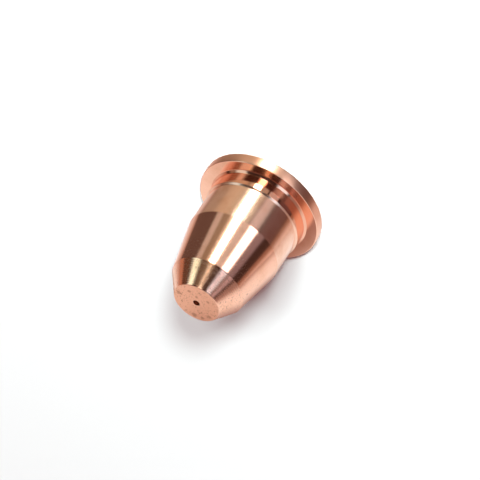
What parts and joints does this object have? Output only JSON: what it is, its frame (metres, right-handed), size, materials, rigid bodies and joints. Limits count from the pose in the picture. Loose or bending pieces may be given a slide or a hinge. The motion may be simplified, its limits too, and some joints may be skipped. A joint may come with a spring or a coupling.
{
  "type": "plasma cutting nozzle",
  "caption": "Turned copper nozzle for a plasma cutting torch: a flat flange, a plain cylindrical body, a long taper, a steep nose and a fine central orifice.",
  "frame": {"origin": "centre of the flange's rear face, which the nozzle stands on", "axes": "+Z along the nozzle's axis, from the flange to the nose; X and Y are free, because the nozzle is round"},
  "size_m": [0.016, 0.016, 0.0178],
  "materials": {
    "copper": "bright turned copper, satin on the body and bright on the neck and the cones"
  },
  "bodies": {
    "root": {"nozzle": "copper"}
  },
  "joints": []
}
